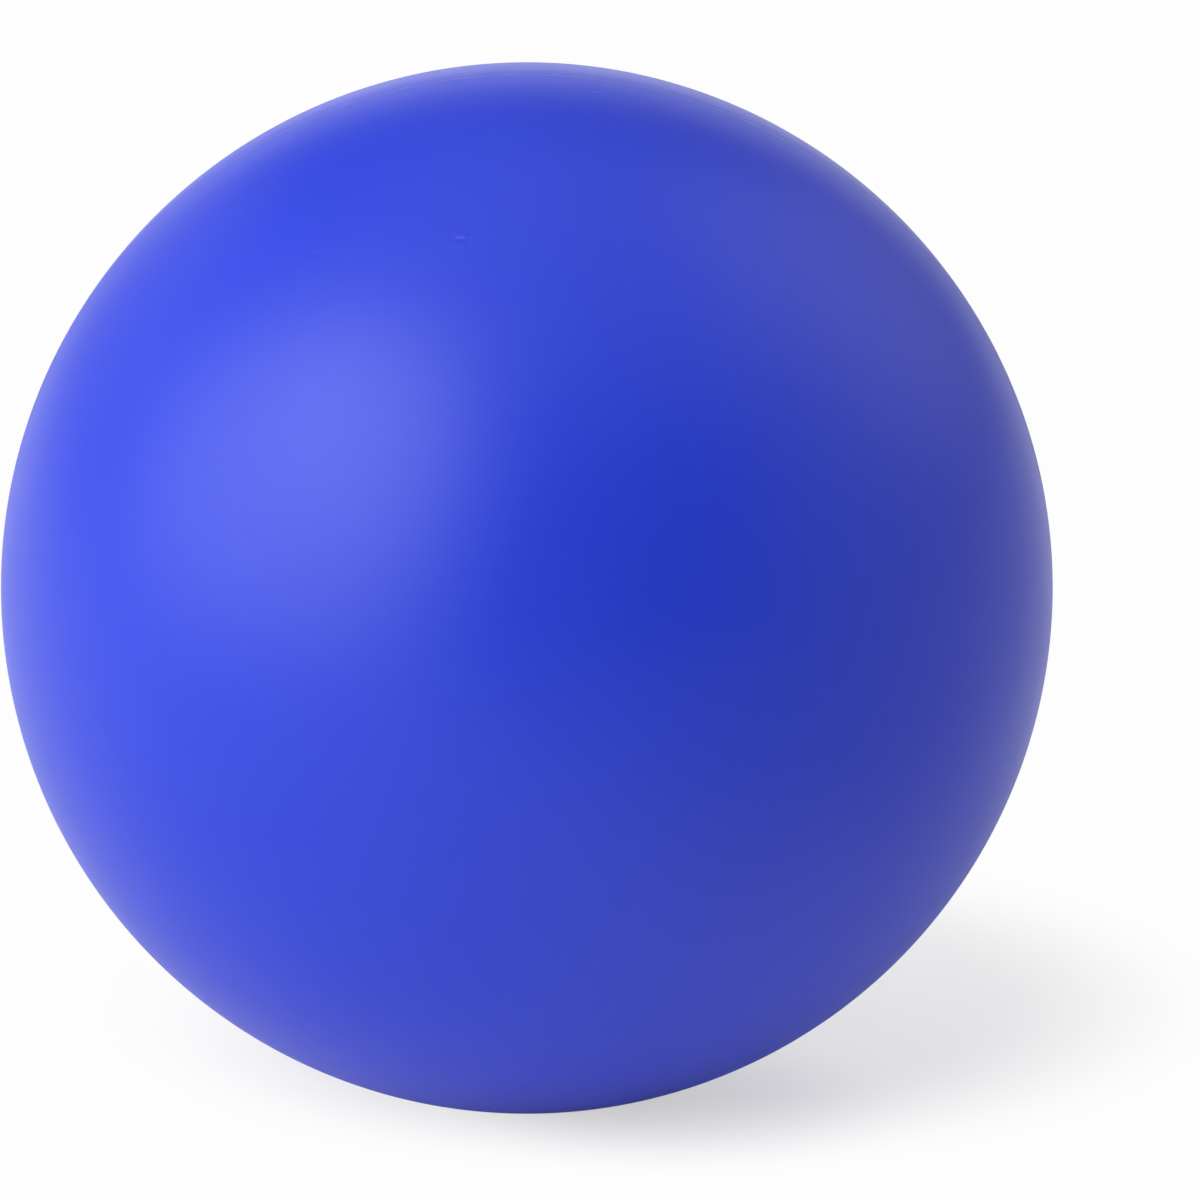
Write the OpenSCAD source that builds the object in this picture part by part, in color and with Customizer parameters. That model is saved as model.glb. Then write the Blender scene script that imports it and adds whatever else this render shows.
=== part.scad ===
// Racquetball: a hollow rubber ball made of two moulded half-shells, cemented rim to rim.
// The origin is the ball's centre and +Z is up. The seam lies in the plane of X and Z,
// so the front half-shell is on the -Y side and the rear one on the +Y side.

/* [Ball] */
// Outside diameter of the finished ball
ball_d = 57.15; // [50:0.05:65]
// Thickness of the rubber wall
wall_t = 4; // [3:0.1:6]

/* [Seam] */
// Thickness of the cured cement between the two flat rims
film_t = 0.2; // [0.1:0.05:0.4]
// Depth of the bevel on the outer edge of each rim, which the cement fills up
rim_bevel = 0.15; // [0.05:0.05:0.4]
// Radius of the bead of cement that is squeezed out along the seam inside the ball
bead_r = 0.7; // [0.4:0.1:1.2]

/* [Vent nib] */
// Width of the trimmed nib that the mould's air vent leaves on the front half
nib_d = 0.9; // [0.5:0.1:1.5]
// Height of the nib above the rubber round it
nib_h = 0.05; // [0.02:0.01:0.15]
// Angle of the nib above the ball's middle, in degrees
nib_rise = 54.5; // [0:0.5:75]
// Angle of the nib to the right of the ball's front, in degrees
nib_turn = -11.5; // [-60:0.5:60]

/* [Hidden] */
$fn = 128;
// How far a cut or a blank runs past the surface that trims it
overrun = 1;
ball_r = ball_d / 2;
cavity_r = ball_r - wall_t;
half_film = film_t / 2;

// A half-shell is drawn with its rim down and its crown up, and these turn the crown
// to the front or to the rear.
crown_to_front = [90, 0, 0];
crown_to_rear = [-90, 0, 0];

// The space between the two rims: a flat film that opens into a shallow V at the
// ball's surface. It cuts both rims and gives the cement its shape.
module rim_gap() {
    upper = [
        [cavity_r - overrun, half_film],
        [ball_r - rim_bevel, half_film],
        [ball_r + overrun, half_film + rim_bevel + overrun]
    ];
    lower = [for (i = [len(upper) - 1 : -1 : 0]) [upper[i].x, -upper[i].y]];
    rotate_extrude()
        polygon(concat(upper, lower));
}

// Half of the hollow ball, with the flat, bevelled rim that is ground before cementing
module half_shell() {
    difference() {
        sphere(r = ball_r);
        sphere(r = cavity_r);
        rim_gap();
        mirror([0, 0, 1])
            cylinder(r = ball_r + overrun, h = ball_r + overrun);
    }
}

// A low stub that stands square to the ball's surface and is rooted in the wall
module vent_nib() {
    root_r = ball_r - wall_t / 2;
    rotate([90 - nib_rise, 0, nib_turn])
        translate([0, 0, root_r])
            cylinder(d = nib_d, h = ball_r + nib_h - root_r);
}

// The rounded ridge of cement that stands on the inside of the wall, over the seam
module inner_bead() {
    intersection() {
        sphere(r = cavity_r);
        rotate_extrude()
            translate([cavity_r, 0])
                circle(r = bead_r);
    }
}

module front_half_shell() {
    color("royalblue") {
        rotate(crown_to_front)
            half_shell();
        vent_nib();
    }
}

module rear_half_shell() {
    color("royalblue")
        rotate(crown_to_rear)
            half_shell();
}

// The cured cement: it fills the gap from the cavity out to the buffed surface,
// and its bead closes the seam on the inside.
module seam_cement() {
    color("mediumblue")
        rotate(crown_to_front) {
            difference() {
                intersection() {
                    sphere(r = ball_r);
                    rim_gap();
                }
                sphere(r = cavity_r);
            }
            inner_bead();
        }
}

front_half_shell();
rear_half_shell();
seam_cement();
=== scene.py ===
# %% [markdown]
# # A racquetball
#
# A racquetball is a hollow ball of blue rubber, 57 mm across. Two half-shells are moulded,
# their rims are ground flat and coated with rubber cement, and the closed ball is cured and
# tumbled until it has an even satin skin. So there are only three pieces to model: the front
# half, the rear half and the ring of cement between them.
#
# A plain ball gives nothing to hide behind. What makes it look real is the exact round
# outline, the way its satin rubber spreads the reflections of the studio, and the few small
# marks that moulding leaves.

# %% Load the frame
import math

import bmesh
import bpy
import numpy as np
from mathutils import Matrix, Vector


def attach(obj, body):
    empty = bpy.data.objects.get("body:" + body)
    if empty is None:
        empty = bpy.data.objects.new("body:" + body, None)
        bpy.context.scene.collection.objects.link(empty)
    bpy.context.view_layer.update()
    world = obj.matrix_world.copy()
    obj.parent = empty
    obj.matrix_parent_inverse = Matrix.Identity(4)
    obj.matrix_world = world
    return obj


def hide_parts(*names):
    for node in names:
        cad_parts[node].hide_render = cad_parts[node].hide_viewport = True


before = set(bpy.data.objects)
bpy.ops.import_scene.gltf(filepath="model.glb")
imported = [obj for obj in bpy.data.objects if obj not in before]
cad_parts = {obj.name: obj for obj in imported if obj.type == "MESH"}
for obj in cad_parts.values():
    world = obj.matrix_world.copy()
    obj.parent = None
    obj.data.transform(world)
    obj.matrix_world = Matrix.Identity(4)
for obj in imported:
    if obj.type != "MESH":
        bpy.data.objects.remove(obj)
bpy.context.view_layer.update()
MM = 0.001
TOUCHING = 0.001 * MM
print("solids in the frame:", sorted(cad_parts))

# %% [markdown]
# ## Sizes from the frame
#
# The rubber skin has to fit the ball that was built, so no size is typed here. The solids'
# own points give them all: a point of the rear half is never further from the centre than
# the ball's radius and never nearer than the hollow's, its rim lies flat beside the film of
# cement, and the only points of the front half that stand proud belong to the vent nib.


# %% Measure the ball
def points_of(node):
    """The corner points of a solid, one row each, in metres."""
    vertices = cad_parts[node].data.vertices
    flat = np.empty(len(vertices) * 3)
    vertices.foreach_get("co", flat)
    return flat.reshape(-1, 3)


rear = points_of("rear_half_shell")
rear_radii = np.linalg.norm(rear, axis=1)
BALL_R = float(rear_radii.max())
CAVITY_R = float(rear_radii.min())
HALF_FILM = float(rear[:, 1].min())
flat_rim = rear[rear[:, 1] < HALF_FILM + TOUCHING]
RIM_BEVEL = BALL_R - float(np.linalg.norm(flat_rim[:, [0, 2]], axis=1).max())

front = points_of("front_half_shell")
front_radii = np.linalg.norm(front, axis=1)
NIB_HEIGHT = float(front_radii.max()) - BALL_R
nib_edge = front[front_radii > BALL_R + NIB_HEIGHT / 2]
NIB_WIDTH = float(np.linalg.norm(nib_edge - nib_edge.mean(axis=0), axis=1).max()) * 2
NIB_DIRECTION = Vector(nib_edge.mean(axis=0)).normalized()
NIB_UP = (Vector((0, 0, 1)) - NIB_DIRECTION * NIB_DIRECTION.z).normalized()

BEAD_R = CAVITY_R - float(np.linalg.norm(points_of("seam_cement"), axis=1).min())
print(f"ball {2 * BALL_R / MM:.2f} mm, wall {(BALL_R - CAVITY_R) / MM:.2f} mm")
print(f"film {2 * HALF_FILM / MM:.2f} mm, bevel {RIM_BEVEL / MM:.2f} mm, bead {BEAD_R / MM:.2f} mm")
print(f"nib {NIB_WIDTH / MM:.2f} mm wide, {NIB_HEIGHT / MM:.3f} mm high")

# %% [markdown]
# ## Writing node trees as formulas
#
# Both the shape and the finishes are node trees. A long chain of Math nodes is hard to read
# as code, so `Value` wraps one output and turns Python's own operators into Math nodes:
# `1 - mask * 0.5` builds two of them. Every other node comes from `Tree.add`, which takes
# the node's type, its settings and what goes into its sockets.


# %% A node tree that reads like a formula
class Value:
    """One output of a node. Arithmetic on it adds Math nodes to its tree."""

    def __init__(self, tree, node, output=0):
        self.tree = tree
        self.node = node
        self.socket = node.outputs[output] if node.outputs else None

    def __getitem__(self, output):
        return Value(self.tree, self.node, output)

    def math(self, operation, *others):
        return self.tree.math(operation, self, *others)

    def __add__(self, other):
        return self.tree.math("ADD", self, other)

    def __radd__(self, other):
        return self.tree.math("ADD", other, self)

    def __sub__(self, other):
        return self.tree.math("SUBTRACT", self, other)

    def __rsub__(self, other):
        return self.tree.math("SUBTRACT", other, self)

    def __mul__(self, other):
        return self.tree.math("MULTIPLY", self, other)

    def __rmul__(self, other):
        return self.tree.math("MULTIPLY", other, self)

    def __truediv__(self, other):
        return self.tree.math("DIVIDE", self, other)

    def __gt__(self, other):
        return self.tree.math("GREATER_THAN", self, other)


class Tree:
    """A node tree of any kind. Every node in it is made by add()."""

    def __init__(self, tree):
        self.tree = tree

    def add(self, kind, settings=None, sockets=None, output=0):
        node = self.tree.nodes.new(kind)
        for name, setting in (settings or {}).items():
            setattr(node, name, setting)
        for key, value in (sockets or {}).items():
            if isinstance(value, Value):
                self.tree.links.new(value.socket, node.inputs[key])
            else:
                node.inputs[key].default_value = value
        return Value(self, node, output)

    def math(self, operation, *operands):
        return self.add("ShaderNodeMath", {"operation": operation}, dict(enumerate(operands)))

    def vector(self, operation, *operands, output=0):
        settings = {"operation": operation}
        return self.add("ShaderNodeVectorMath", settings, dict(enumerate(operands)), output)

    def scaled(self, vector, factor):
        return self.add("ShaderNodeVectorMath", {"operation": "SCALE"}, {0: vector, "Scale": factor})

    def split(self, vector):
        parts = self.add("ShaderNodeSeparateXYZ", None, {0: vector})
        return parts["X"], parts["Y"], parts["Z"]

    def join(self, x, y, z):
        return self.add("ShaderNodeCombineXYZ", None, {0: x, 1: y, 2: z})

    def fade(self, value, none, full):
        """0 where the value is at none, 1 where it is at full, and smooth between them."""
        sockets = {"Value": value, "From Min": none, "From Max": full}
        return self.add("ShaderNodeMapRange", {"interpolation_type": "SMOOTHSTEP"}, sockets)


# %% [markdown]
# ## The half-shell
#
# A real half-shell is a slug of rubber pressed into a bowl. The tree below does the same to a
# flat square grid, because a grid has no pole: a UV sphere gathers its edges at one point,
# which would sit right in the middle of the picture and show in the satin highlight.
#
# 1. The grid's square rings become round ones, and the disc that they make is wrapped over
#    the ball.
# 2. Round the vent nib the grid is drawn together, so that a mark under a millimetre wide
#    gets enough faces while the rest of the ball keeps its even cells.
# 3. The nib is raised, with the notch across it that the trimming blade leaves, and the skin
#    gets the slight unevenness of a moulded, tumbled ball.
# 4. The open edge is drawn out twice, for the bevel and for the flat rim, and a second,
#    inner bowl closes the wall.


# %% Wrap a grid over the ball
def grid_on_ball(tree, cells, rim_angle):
    """A square grid wrapped over the unit ball from its crown, +Z, down to the rim's angle."""
    sockets = {"Size X": 2.0, "Size Y": 2.0, "Vertices X": cells + 1, "Vertices Y": cells + 1}
    grid = tree.add("GeometryNodeMeshGrid", None, sockets)
    u, v, _ = tree.split(tree.add("GeometryNodeInputPosition"))
    wide = u.math("ABSOLUTE") > v.math("ABSOLUTE")

    def choose(where_wide, elsewhere):
        sockets = {"Switch": wide, "True": where_wide, "False": elsewhere}
        return tree.add("GeometryNodeSwitch", {"input_type": "FLOAT"}, sockets)

    ring = choose(u, v)
    turn = choose(v, u) / ring * (math.pi / 4)
    along = turn.math("COSINE")
    across = turn.math("SINE")
    polar = ring * rim_angle
    spread = polar.math("SINE")
    height = polar.math("COSINE")
    place = tree.join(spread * choose(along, across), spread * choose(across, along), height)
    return tree.add("GeometryNodeSetPosition", None, {"Geometry": grid, "Position": place})


# %% Draw the grid together, and draw out its edge
def draw_together(tree, bowl, centre, reach, gather):
    """Pulls the points of the unit bowl towards one of them, so that its cells are finer there."""
    here = tree.add("GeometryNodeInputPosition")
    way = tree.vector("SUBTRACT", centre, here)
    distance = tree.vector("LENGTH", way, output="Value") / reach
    pull = (distance * distance * -1.0).math("EXPONENT") * gather
    moved = tree.vector("ADD", here, tree.scaled(way, pull))
    sockets = {"Geometry": bowl, "Position": tree.vector("NORMALIZE", moved)}
    return tree.add("GeometryNodeSetPosition", None, sockets)


def draw_out(tree, shell, radius, height):
    """Draws the open edge of the shell out to a circle of that radius at that height."""
    on_edge = tree.math("COMPARE", tree.add("GeometryNodeInputMeshEdgeNeighbors"), 1.0, 0.1)
    sockets = {"Mesh": shell, "Selection": on_edge, "Offset Scale": 0.0}
    drawn = tree.add("GeometryNodeExtrudeMesh", {"mode": "EDGES"}, sockets)
    x, y, _ = tree.split(tree.add("GeometryNodeInputPosition"))
    grow = radius / (x * x + y * y).math("SQRT")
    place = tree.join(x * grow, y * grow, height)
    sockets = {"Geometry": drawn["Mesh"], "Selection": drawn["Top"], "Position": place}
    return tree.add("GeometryNodeSetPosition", None, sockets)


# %% The shell's two surfaces
RIM_MARGIN = 3 * MM
NIB_TOP_SHARE = 0.80
NOTCH_WIDTH_SHARE = 1.3
NOTCH_DEPTH_SHARE = 1.8


def outer_surface(tree, given):
    """The skin, with its nib and its unevenness, which fades out before the rim."""
    ball_r = given["Ball Radius"]
    rim_height = given["Half Film"] + given["Rim Bevel"]
    bowl = grid_on_ball(tree, given["Cells"], (rim_height / ball_r).math("ARCCOSINE"))
    nib_at = given["Nib Direction"]
    bowl = draw_together(tree, bowl, nib_at, given["Gather Reach"], given["Gather"])

    here = tree.add("GeometryNodeInputPosition")
    way = tree.vector("SUBTRACT", here, nib_at)
    from_nib = tree.vector("LENGTH", way, output="Value") * ball_r
    above_nib = tree.vector("DOT_PRODUCT", way, given["Nib Up"], output="Value") * ball_r
    nib_r = given["Nib Width"] * 0.5
    notch = tree.fade(above_nib.math("ABSOLUTE"), nib_r * NOTCH_WIDTH_SHARE / 2, 0.0)
    stub = tree.fade(from_nib, nib_r, nib_r * NIB_TOP_SHARE)
    nib = stub * (1 - notch * NOTCH_DEPTH_SHARE) * given["Nib Height"]

    sockets = {"Vector": here, "W": given["Seed"], "Scale": ball_r / given["Uneven Size"]}
    uneven = tree.add("ShaderNodeTexNoise", {"noise_dimensions": "4D"}, sockets)
    _, _, height = tree.split(here)
    off_rim = tree.fade(height * ball_r, rim_height, rim_height + RIM_MARGIN)
    sunk = uneven * off_rim * given["Unevenness"]
    sockets = {"Geometry": bowl, "Position": tree.scaled(here, ball_r + nib - sunk)}
    return tree.add("GeometryNodeSetPosition", None, sockets)


def inner_surface(tree, given):
    """The smooth inside of the wall, which faces the hollow."""
    rim_angle = (given["Half Film"] / given["Cavity Radius"]).math("ARCCOSINE")
    bowl = grid_on_ball(tree, given["Cells"], rim_angle)
    here = tree.add("GeometryNodeInputPosition")
    sockets = {"Geometry": bowl, "Position": tree.scaled(here, given["Cavity Radius"])}
    bowl = tree.add("GeometryNodeSetPosition", None, sockets)
    return tree.add("GeometryNodeFlipFaces", None, {"Mesh": bowl})


# %% The whole half-shell
SHELL_INPUTS = {
    "Ball Radius": "NodeSocketFloat",
    "Cavity Radius": "NodeSocketFloat",
    "Half Film": "NodeSocketFloat",
    "Rim Bevel": "NodeSocketFloat",
    "Cells": "NodeSocketInt",
    "Nib Direction": "NodeSocketVector",
    "Nib Up": "NodeSocketVector",
    "Nib Width": "NodeSocketFloat",
    "Nib Height": "NodeSocketFloat",
    "Gather": "NodeSocketFloat",
    "Gather Reach": "NodeSocketFloat",
    "Unevenness": "NodeSocketFloat",
    "Uneven Size": "NodeSocketFloat",
    "Seed": "NodeSocketFloat",
    "Crown Turn": "NodeSocketVector",
    "Material": "NodeSocketMaterial",
}
SHARP_ANGLE = math.radians(30)


def half_shell_tree():
    """The geometry tree that makes either half-shell."""
    group = bpy.data.node_groups.new("half_shell", "GeometryNodeTree")
    for name, kind in SHELL_INPUTS.items():
        group.interface.new_socket(name, in_out="INPUT", socket_type=kind)
    group.interface.new_socket("Geometry", in_out="OUTPUT", socket_type="NodeSocketGeometry")
    tree = Tree(group)
    given = tree.add("NodeGroupInput")

    film = given["Half Film"]
    cavity_r = given["Cavity Radius"]
    wall = outer_surface(tree, given)
    wall = draw_out(tree, wall, given["Ball Radius"] - given["Rim Bevel"], film)
    wall = draw_out(tree, wall, (cavity_r * cavity_r - film * film).math("SQRT"), film)

    both = tree.add("GeometryNodeJoinGeometry", None, {0: wall})
    group.links.new(inner_surface(tree, given).socket, both.node.inputs[0])
    shell = tree.add("GeometryNodeMergeByDistance", None, {"Geometry": both, "Distance": TOUCHING})
    sockets = {"Geometry": shell, "Rotation": given["Crown Turn"]}
    shell = tree.add("GeometryNodeTransform", None, sockets)

    shell = tree.add("GeometryNodeSetShadeSmooth", {"domain": "FACE"}, {"Geometry": shell})
    sharp = tree.add("GeometryNodeInputMeshEdgeAngle") > SHARP_ANGLE
    sockets = {"Geometry": shell, "Selection": sharp, "Shade Smooth": False}
    shell = tree.add("GeometryNodeSetShadeSmooth", {"domain": "EDGE"}, sockets)
    shell = tree.add("GeometryNodeRealizeInstances", None, {"Geometry": shell})
    sockets = {"Geometry": shell, "Material": given["Material"]}
    shell = tree.add("GeometryNodeSetMaterial", None, sockets)
    tree.add("NodeGroupOutput", None, {"Geometry": shell})
    return group


# %% Run a geometry tree
def run_tree(name, group, values):
    """Runs a geometry tree with those inputs and returns its result as a plain mesh object."""
    holder = bpy.data.objects.new(name + "_holder", bpy.data.meshes.new(name + "_holder"))
    bpy.context.scene.collection.objects.link(holder)
    modifier = holder.modifiers.new("tree", "NODES")
    modifier.node_group = group
    for item in group.interface.items_tree:
        if item.in_out == "INPUT":
            modifier[item.identifier] = values[item.name]
    result = holder.evaluated_get(bpy.context.evaluated_depsgraph_get())
    mesh = bpy.data.meshes.new_from_object(result)
    mesh.name = name
    holder.modifiers.remove(modifier)
    bpy.data.objects.remove(holder)
    piece = bpy.data.objects.new(name, mesh)
    bpy.context.scene.collection.objects.link(piece)
    return piece


def describe(piece):
    """Prints a piece's faces, its open edges and the volume that it encloses."""
    work = bmesh.new()
    work.from_mesh(piece.data)
    open_edges = sum(1 for edge in work.edges if len(edge.link_faces) != 2)
    volume = work.calc_volume(signed=True) / MM**3
    triangles = sum(len(face.verts) - 2 for face in work.faces)
    work.free()
    print(f"{piece.name}: {triangles} triangles, {open_edges} open edges, {volume:.1f} mm3")

# %% [markdown]
# ## Two halves
#
# The two halves come out of the same mould, so one tree makes both. The front half keeps the
# stub of rubber where the mould let its air out. The rear half has none: its height is zero,
# and nothing draws its grid together.

# %% Make the half-shells
CELLS = 190
GATHER = 0.88
GATHER_REACH = 0.12
UNEVENNESS = 0.02 * MM
UNEVEN_SIZE = 14 * MM
QUARTER = math.pi / 2
FRONT_SEED = 3.0
REAR_SEED = 8.0


def half_shell(name, crown_turn, seed, nib_height, material):
    """One half of the ball, its crown turned from +Z to the front or to the rear."""
    turn = Matrix.Rotation(crown_turn, 3, "X")
    values = {
        "Ball Radius": BALL_R,
        "Cavity Radius": CAVITY_R,
        "Half Film": HALF_FILM,
        "Rim Bevel": RIM_BEVEL,
        "Cells": CELLS,
        "Nib Direction": turn.transposed() @ NIB_DIRECTION,
        "Nib Up": turn.transposed() @ NIB_UP,
        "Nib Width": NIB_WIDTH,
        "Nib Height": nib_height,
        "Gather": GATHER if nib_height else 0.0,
        "Gather Reach": GATHER_REACH,
        "Unevenness": UNEVENNESS,
        "Uneven Size": UNEVEN_SIZE,
        "Seed": seed,
        "Crown Turn": Vector((crown_turn, 0, 0)),
        "Material": material,
    }
    return run_tree(name, shell_tree, values)


shell_tree = half_shell_tree()
rubber = bpy.data.materials.new("satin_rubber")
front_skin = half_shell("front_rubber", QUARTER, FRONT_SEED, NIB_HEIGHT, rubber)
rear_skin = half_shell("rear_rubber", -QUARTER, REAR_SEED, 0.0, rubber)
describe(front_skin)
describe(rear_skin)

# %% [markdown]
# ## The cement
#
# Cement is brushed on both rims, and pressing the halves together squeezes it both ways.
# Outside it is buffed off until it only fills the shallow V between the two bevels. Inside
# nobody can reach it, so it stays as a bead, thicker where more cement happened to be. One
# section is swept round the ball, and its bead swells and shrinks a little on the way. The
# swelling is a sum of whole waves, so that the ring meets itself.

# %% The section of the cement
ARC_STEPS = 6
BEAD_STEPS = 16
BEAD_THINNING = 0.15
BEAD_WAVES = ((5, 0.7, 0.50), (11, 2.1, 0.30), (23, 0.0, 0.20))  # waves round, start, share
CEMENT_SINK = 0.006 * MM


def bead_radius(angle):
    """The bead's radius at that angle round the seam."""
    swelling = sum(share * math.sin(count * angle + start) for count, start, share in BEAD_WAVES)
    return BEAD_R * (1 - BEAD_THINNING * (1 - swelling) / 2)


def cement_section(angle):
    """The section of the cement, as distances from the seam's axis and from its plane."""
    surface_r = BALL_R - CEMENT_SINK
    top = math.asin((HALF_FILM + RIM_BEVEL - CEMENT_SINK) / surface_r)
    across = [top * (1 - 2 * i / ARC_STEPS) for i in range(ARC_STEPS + 1)]
    section = [(surface_r * math.cos(a), surface_r * math.sin(a)) for a in across]
    groove_r = BALL_R - RIM_BEVEL
    hollow_r = math.sqrt(CAVITY_R**2 - HALF_FILM**2)
    section += [(groove_r, -HALF_FILM), (hollow_r, -HALF_FILM)]
    bead_r = bead_radius(angle)
    lean = math.acos(bead_r / 2 / CAVITY_R)
    for i in range(BEAD_STEPS + 1):
        around = lean * (2 * i / BEAD_STEPS - 1)
        section.append((CAVITY_R - bead_r * math.cos(around), bead_r * math.sin(around)))
    return section + [(hollow_r, HALF_FILM), (groove_r, HALF_FILM)]


# %% Sweep the section round the ball
RING_STEPS = 720


def cement_ring(name, material):
    """The ring of cement: its section at every step round the seam, joined by faces."""
    work = bmesh.new()
    rings = []
    for step in range(RING_STEPS):
        angle = 2 * math.pi * step / RING_STEPS
        across = (math.cos(angle), math.sin(angle))
        ring = [work.verts.new((r * across[0], h, r * across[1])) for r, h in cement_section(angle)]
        rings.append(ring)
    for step, ring in enumerate(rings):
        following = rings[(step + 1) % RING_STEPS]
        for i, corner in enumerate(ring):
            j = (i + 1) % len(ring)
            face = work.faces.new((corner, ring[j], following[j], following[i]))
            face.smooth = True
    bmesh.ops.recalc_face_normals(work, faces=work.faces)
    for edge in work.edges:
        edge.smooth = edge.calc_face_angle() < SHARP_ANGLE
    mesh = bpy.data.meshes.new(name)
    work.to_mesh(mesh)
    work.free()
    mesh.materials.append(material)
    piece = bpy.data.objects.new(name, mesh)
    bpy.context.scene.collection.objects.link(piece)
    return piece


cement = bpy.data.materials.new("cured_cement")
cement_piece = cement_ring("cement_ring", cement)
describe(cement_piece)

# %% [markdown]
# ## Satin rubber
#
# The colour is mixed right through the rubber, so it hardly changes, but tumbling leaves a
# skin that isn't quite even. The finish has four scales: a slow cloudiness of a few
# millimetres, a fine pebble that spreads the lamps' reflections, sparse pin-pricks left by
# grit in the tumbler, and the band along the seam where the cement was buffed off, whose
# scratches run along the seam.
#
# All patterns read Object coordinates in millimetres, so a number in the code is a size that
# could be measured on the ball.


# %% Helpers for the finishes
def millimetres(tree):
    """Object coordinates in millimetres."""
    place = tree.add("ShaderNodeTexCoord")["Object"]
    return tree.scaled(place, 1 / MM)


def noise(tree, place, size):
    """Noise whose lumps are about that size, from 0 to 1."""
    sockets = {"Vector": place, "Scale": 1 / size, "Detail": 1.0}
    return tree.add("ShaderNodeTexNoise", None, sockets)["Fac"]


MIX_FACTOR, MIX_A, MIX_B, MIX_RESULT = 0, 6, 7, 2


def blended(tree, share, low, high):
    """A colour between two colours: the first where the share is 0, the second where it is 1."""
    sockets = {MIX_FACTOR: share, MIX_A: low, MIX_B: high}
    return tree.add("ShaderNodeMix", {"data_type": "RGBA"}, sockets, MIX_RESULT)


def finish(material, build):
    """Empties a material's tree and lets build() fill it, from coordinates to a shader."""
    material.use_nodes = True
    material.node_tree.nodes.clear()
    tree = Tree(material.node_tree)
    shader = build(tree, millimetres(tree))
    tree.add("ShaderNodeOutputMaterial", None, {"Surface": shader})


# %% Finish the rubber
RUBBER_BLUE = (0.0052, 0.0310, 0.590, 1.0)
RUBBER_CLOUDY = (0.0068, 0.0330, 0.574, 1.0)
BUFFED_BLUE = (0.0120, 0.0400, 0.570, 1.0)
RUBBER_IOR = 1.5
RUBBER_ROUGHNESS = 0.37
ROUGHER_CLOUD = 0.04
ROUGHER_PEBBLE = 0.03
ROUGHER_BAND = 0.03
ROUGHER_SCRATCH = 0.06
CLOUD_SIZE = 5.0
PEBBLE_SIZE = 0.22
PEBBLE_HEIGHT = 0.0008
SPECK_SPACING = 7.0
SPECK_R = 0.35
SPECK_DEPTH = 0.010
BAND_INNER = 1.0
BAND_OUTER = 2.4
SCRATCH_LENGTH = 2.5
SCRATCH_WIDTH = 0.05
SCRATCH_DEPTH = 0.0012
SCRATCH_EDGE = 0.50
SCRATCH_MIDDLE = 0.75
BUFFED_SHARE = 0.5


def specks(tree, place):
    """1 in the middle of a small mark left by grit, 0 elsewhere."""
    sockets = {"Vector": place, "Scale": 1 / SPECK_SPACING}
    from_grit = tree.add("ShaderNodeTexVoronoi", None, sockets)["Distance"] * SPECK_SPACING
    return tree.fade(from_grit, SPECK_R, SPECK_R / 2)


def buffing(tree, place, clouds):
    """The band along the seam where the cement was buffed off, and the scratches in it."""
    x, y, z = tree.split(place)
    band = tree.fade(y.math("ABSOLUTE") + clouds, BAND_OUTER, BAND_INNER)
    along = z.math("ARCTAN2", x) * (BALL_R / MM / SCRATCH_LENGTH)
    scratches = noise(tree, tree.join(along, y / SCRATCH_WIDTH, 0.0), 1.0)
    return band, band * tree.fade(scratches, SCRATCH_EDGE, SCRATCH_MIDDLE)


def satin_rubber(tree, place):
    """Tumbled rubber, cloudy and finely pebbled, with grit marks and the buffed band."""
    clouds = noise(tree, place, CLOUD_SIZE)
    pebble = noise(tree, place, PEBBLE_SIZE)
    marks = specks(tree, place)
    band, scratches = buffing(tree, place, clouds)
    colour = blended(tree, clouds, RUBBER_BLUE, RUBBER_CLOUDY)
    colour = blended(tree, band * BUFFED_SHARE, colour, BUFFED_BLUE)
    roughness = RUBBER_ROUGHNESS + clouds * ROUGHER_CLOUD + pebble * ROUGHER_PEBBLE
    roughness = roughness + band * ROUGHER_BAND + scratches * ROUGHER_SCRATCH
    height = pebble * PEBBLE_HEIGHT - marks * SPECK_DEPTH - scratches * SCRATCH_DEPTH
    sockets = {"Strength": 1.0, "Distance": MM, "Height": height}
    bump = tree.add("ShaderNodeBump", None, sockets)
    sockets = {"Base Color": colour, "Roughness": roughness, "IOR": RUBBER_IOR, "Normal": bump}
    return tree.add("ShaderNodeBsdfPrincipled", None, sockets)


finish(rubber, satin_rubber)

# %% Finish the cement
CEMENT_BLUE = (0.0060, 0.0280, 0.520, 1.0)
CEMENT_PALE = (0.0080, 0.0340, 0.560, 1.0)
CEMENT_ROUGHNESS = 0.32
ROUGHER_LUMP = 0.15
LUMP_SIZE = 1.2
LUMP_HEIGHT = 0.004


def cured_cement(tree, place):
    """Cement a little darker and smoother than the rubber, with soft lumps."""
    lumps = noise(tree, place, LUMP_SIZE)
    colour = blended(tree, lumps, CEMENT_BLUE, CEMENT_PALE)
    roughness = CEMENT_ROUGHNESS + lumps * ROUGHER_LUMP
    sockets = {"Strength": 1.0, "Distance": MM, "Height": lumps * LUMP_HEIGHT}
    bump = tree.add("ShaderNodeBump", None, sockets)
    sockets = {"Base Color": colour, "Roughness": roughness, "IOR": RUBBER_IOR, "Normal": bump}
    return tree.add("ShaderNodeBsdfPrincipled", None, sockets)


finish(cement, cured_cement)

# %% [markdown]
# ## Placing the pieces on the frame
#
# Each skin stands for one solid of the frame: the solid keeps doing its work in the physics,
# and the skin is what shows. A ball has nothing that moves, so all three ride on one body.

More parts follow.
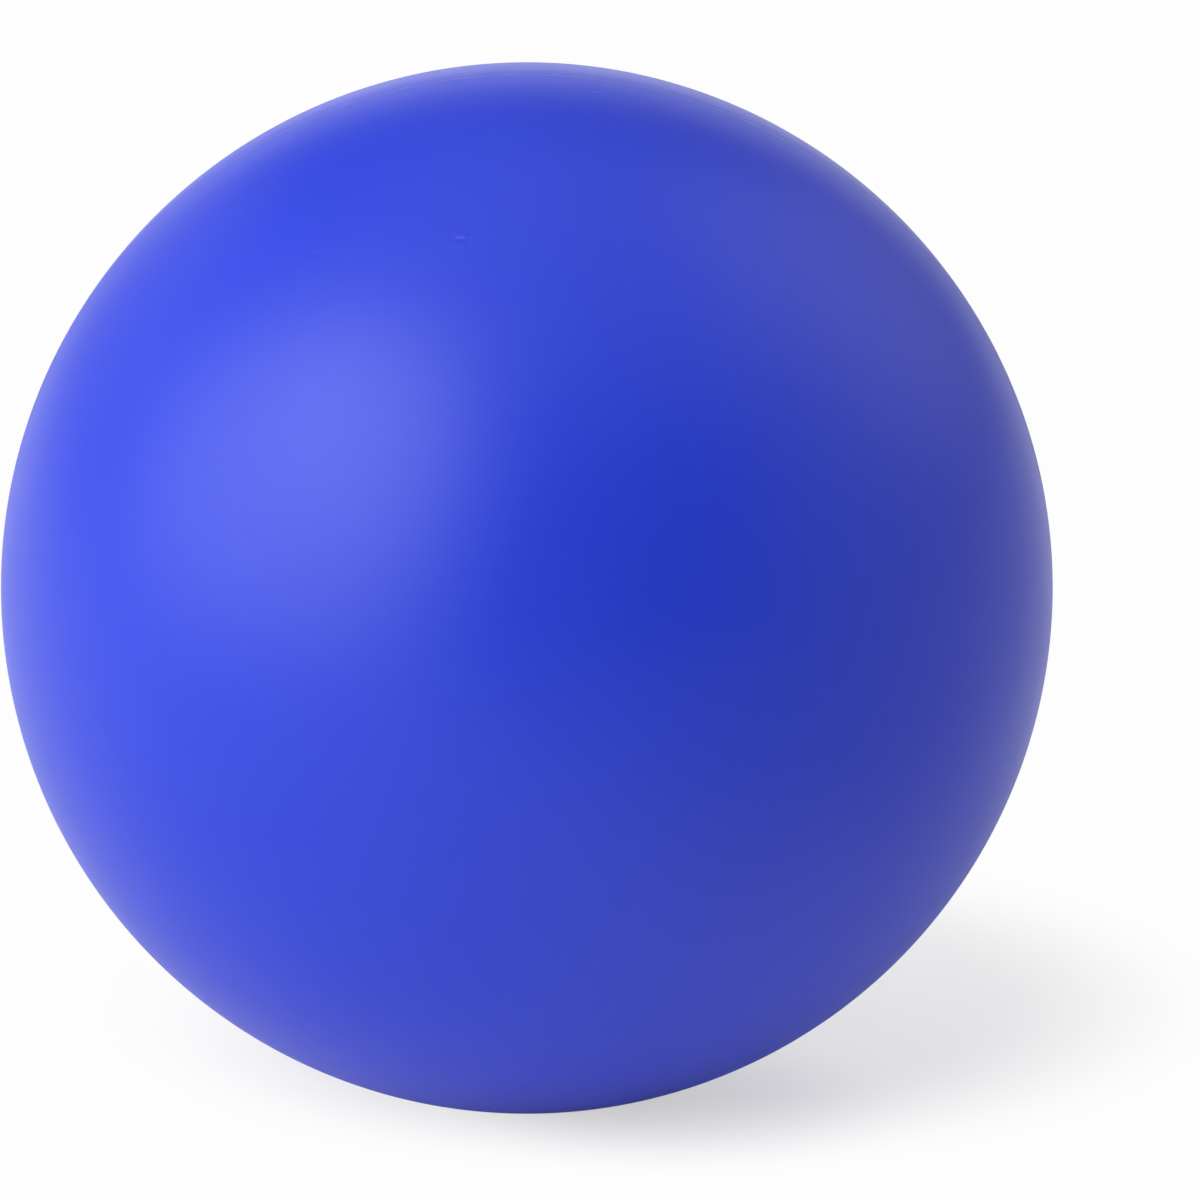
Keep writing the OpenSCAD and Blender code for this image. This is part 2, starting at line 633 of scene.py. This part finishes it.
# %% Dress the frame
DRESSED = (
    (front_skin, "front_half_shell", "shell_rubber"),
    (rear_skin, "rear_half_shell", "shell_rubber"),
    (cement_piece, "seam_cement", "seam_cement"),
)
for piece, node, slot in DRESSED:
    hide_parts(node)
    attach(piece, "root")
    print(f"{piece.name} stands for {node}")

# %% [markdown]
# ## The floor
#
# The ball lies on white paper that the exposure burns out, so its shadow is light and soon
# fades to plain white. The paper is therefore a mix of diffuse paper, which takes the
# shadow, and of plain white, which only rays from the camera and, a little, mirror-like rays
# see, so the light that the floor throws back at the ball stays that of paper. The share of
# white grows with the distance from the shadow's middle, and it is least where the ball
# stands, because a shadow is deepest there. Out of the picture, to the right and in front,
# the paper's colour turns grey: painted shade on the floor, which keeps that side of the ball deep.

# %% Lay the floor
FLOOR_R = 6.0
FLOOR_SIDES = 96

mesh = bpy.data.meshes.new("floor")
work = bmesh.new()
bmesh.ops.create_circle(work, cap_ends=True, radius=FLOOR_R, segments=FLOOR_SIDES)
bmesh.ops.translate(work, verts=work.verts, vec=(0, 0, -BALL_R))
work.to_mesh(mesh)
work.free()
floor = bpy.data.objects.new("floor", mesh)
bpy.context.scene.collection.objects.link(floor)


# %% Directions in the studio
def towards(azimuth, elevation):
    """A direction, with azimuth 0 on the camera's side and rising to the right."""
    azimuth = math.radians(azimuth)
    elevation = math.radians(elevation)
    level = math.cos(elevation)
    return Vector((math.sin(azimuth) * level, -math.cos(azimuth) * level, math.sin(elevation)))


# %% Finish the paper
PAPER = (0.93, 0.92, 0.87, 1.0)
BURNT_WHITE = (0.984, 0.984, 0.984, 1.0)
BURNT_SHARE_IN_SHADOW = 0.65
MIRRORED_SHARE = 0.1
SHADOW_MIDDLE = Vector((0.25 * BALL_R, 0.6 * BALL_R, -BALL_R)) / MM
SHADOW_INNER_R = 18.0
SHADOW_OUTER_R = 33.0
CONTACT_MIDDLE = Vector((0.3 * BALL_R, -0.1 * BALL_R, -BALL_R)) / MM
CONTACT_INNER_R = 4.0
CONTACT_OUTER_R = 14.0
CONTACT_SHARE = 0.1
# Painted shade: the paper turns this grey out of the picture, to the right and in front.
FLOOR_SHADE_GREY = (0.58, 0.58, 0.60, 1.0)
FLOOR_SHADE_SIDE = towards(65, 0)
FLOOR_SHADE_NEAR = 25.0
FLOOR_SHADE_FAR = 75.0


def white_paper(tree, place):
    """Paper that takes the shadow, under a share of plain white for the camera's rays."""
    rays = tree.add("ShaderNodeLightPath")
    mirrored = rays["Is Glossy Ray"] + rays["Is Transmission Ray"]
    away = tree.vector("DISTANCE", place, SHADOW_MIDDLE, output="Value")
    outside = tree.fade(away, SHADOW_INNER_R, SHADOW_OUTER_R)
    burnt = BURNT_SHARE_IN_SHADOW + outside * (1 - BURNT_SHARE_IN_SHADOW)
    away = tree.vector("DISTANCE", place, CONTACT_MIDDLE, output="Value")
    burnt = burnt - tree.fade(away, CONTACT_OUTER_R, CONTACT_INNER_R) * CONTACT_SHARE
    seen = rays["Is Camera Ray"] * burnt + mirrored * outside * MIRRORED_SHARE
    # The paper's colour darkens towards the right and the front: painted shade on the floor, which
    # dims the light that the floor throws back at the ball.
    aside = tree.vector("DOT_PRODUCT", place, FLOOR_SHADE_SIDE, output="Value")
    colour = blended(tree, tree.fade(aside, FLOOR_SHADE_NEAR, FLOOR_SHADE_FAR), PAPER, FLOOR_SHADE_GREY)
    diffuse = tree.add("ShaderNodeBsdfDiffuse", None, {"Color": colour})
    white = tree.add("ShaderNodeEmission", None, {"Color": BURNT_WHITE, "Strength": 1.0})
    sockets = {0: seen.math("MINIMUM", 1.0), 1: diffuse, 2: white}
    return tree.add("ShaderNodeMixShader", None, sockets)


paper = bpy.data.materials.new("paper")
floor.data.materials.append(paper)
finish(paper, white_paper)

# %% [markdown]
# ## The studio
#
# A satin ball is a map of the room round it, so the lamps are placed by what the ball shows.
# The studio is painted on the world as soft-edged patches, each with a direction, a width
# and a strength: a softbox on the left that is brighter at its top, weak fills from the
# front, a ceiling, pale walls on both sides that keep the rims alive, and a white backdrop.
# Where the camera looks past the floor it sees plain white. Mirror-like rays don't, because
# they have to find the lamps.

# %% Light the studio
STUDIO = {  # azimuth, elevation, width and softness in degrees, and strength
    "softbox": (-60, 25, 35, 10, 2.75),
    "softbox_top": (-50, 45, 15, 15, 1.4),
    "front_fill": (75, 30, 30, 25, 0.3),
    "camera_side": (5, 15, 20, 15, 0.2),
    "ceiling": (0, 90, 30, 25, 0.7),
    "right_wall": (105, 10, 45, 5, 0.35),
    "right_top": (125, 35, 25, 5, 0.55),
    "left_wall": (-140, 50, 30, 30, 0.2),
    "left_corner": (-125, 10, 30, 5, 0.5),
    "backdrop": (180, 0, 15, 15, 1.5),
}


def patch(tree, direction, azimuth, elevation, width, softness, strength):
    """A round patch of light on the world, half as bright at that many degrees from its middle."""
    facing = tree.vector("DOT_PRODUCT", direction, towards(azimuth, elevation), output="Value")
    inside = math.cos(math.radians(max(width - softness, 0)))
    outside = math.cos(math.radians(min(width + softness, 180)))
    return tree.fade(facing, outside, inside) * strength


world = bpy.data.worlds.new("studio")
bpy.context.scene.world = world
world.use_nodes = True
world.node_tree.nodes.clear()
sky = Tree(world.node_tree)
direction = sky.add("ShaderNodeTexCoord")["Generated"]
light = 0.0
for name, settings in STUDIO.items():
    light = light + patch(sky, direction, *settings)
    light.node.label = name
seen = sky.add("ShaderNodeLightPath")["Is Camera Ray"]
strength = light * (1 - seen) + seen * BURNT_WHITE[0]
background = sky.add("ShaderNodeBackground", None, {"Color": (1, 1, 1, 1), "Strength": strength})
sky.add("ShaderNodeOutputWorld", None, {"Surface": background})

# %% [markdown]
# ## The camera
#
# The ball fills nearly the whole picture and its outline is a plain circle, so it was taken
# with a long lens from a little above. The shadow's shape gives the height: 15 degrees. The
# ball sits left of the middle, so the camera aims past it, to the right. The picture shows
# it 3% taller than wide, which a ball can't be, so its circle lies between the two.

# %% Set up the camera
PICTURE_PX = 1200
BALL_PX = (527, 588)
BALL_RADIUS_PX = 526
CAMERA_DISTANCE = 0.6
CAMERA_ELEVATION = 15

camera_data = bpy.data.cameras.new("camera")
camera = bpy.data.objects.new("camera", camera_data)
bpy.context.scene.collection.objects.link(camera)
bpy.context.scene.camera = camera
focal_px = BALL_RADIUS_PX * math.sqrt(CAMERA_DISTANCE**2 - BALL_R**2) / BALL_R
camera_data.lens = focal_px / PICTURE_PX * camera_data.sensor_width
camera_data.clip_end = 2 * FLOOR_R
view = -towards(0, CAMERA_ELEVATION)
camera.rotation_euler = view.to_track_quat("-Z", "Y").to_euler()
right = camera.rotation_euler.to_matrix() @ Vector((1, 0, 0))
up = camera.rotation_euler.to_matrix() @ Vector((0, 1, 0))
metres_per_px = CAMERA_DISTANCE / focal_px
aside = (PICTURE_PX / 2 - BALL_PX[0]) * metres_per_px
below = (PICTURE_PX / 2 - BALL_PX[1]) * metres_per_px
camera.location = -view * CAMERA_DISTANCE + right * aside - up * below
print(f"lens {camera_data.lens:.0f} mm, {CAMERA_DISTANCE} m away")

scene = bpy.context.scene
scene.view_settings.view_transform = "Standard"
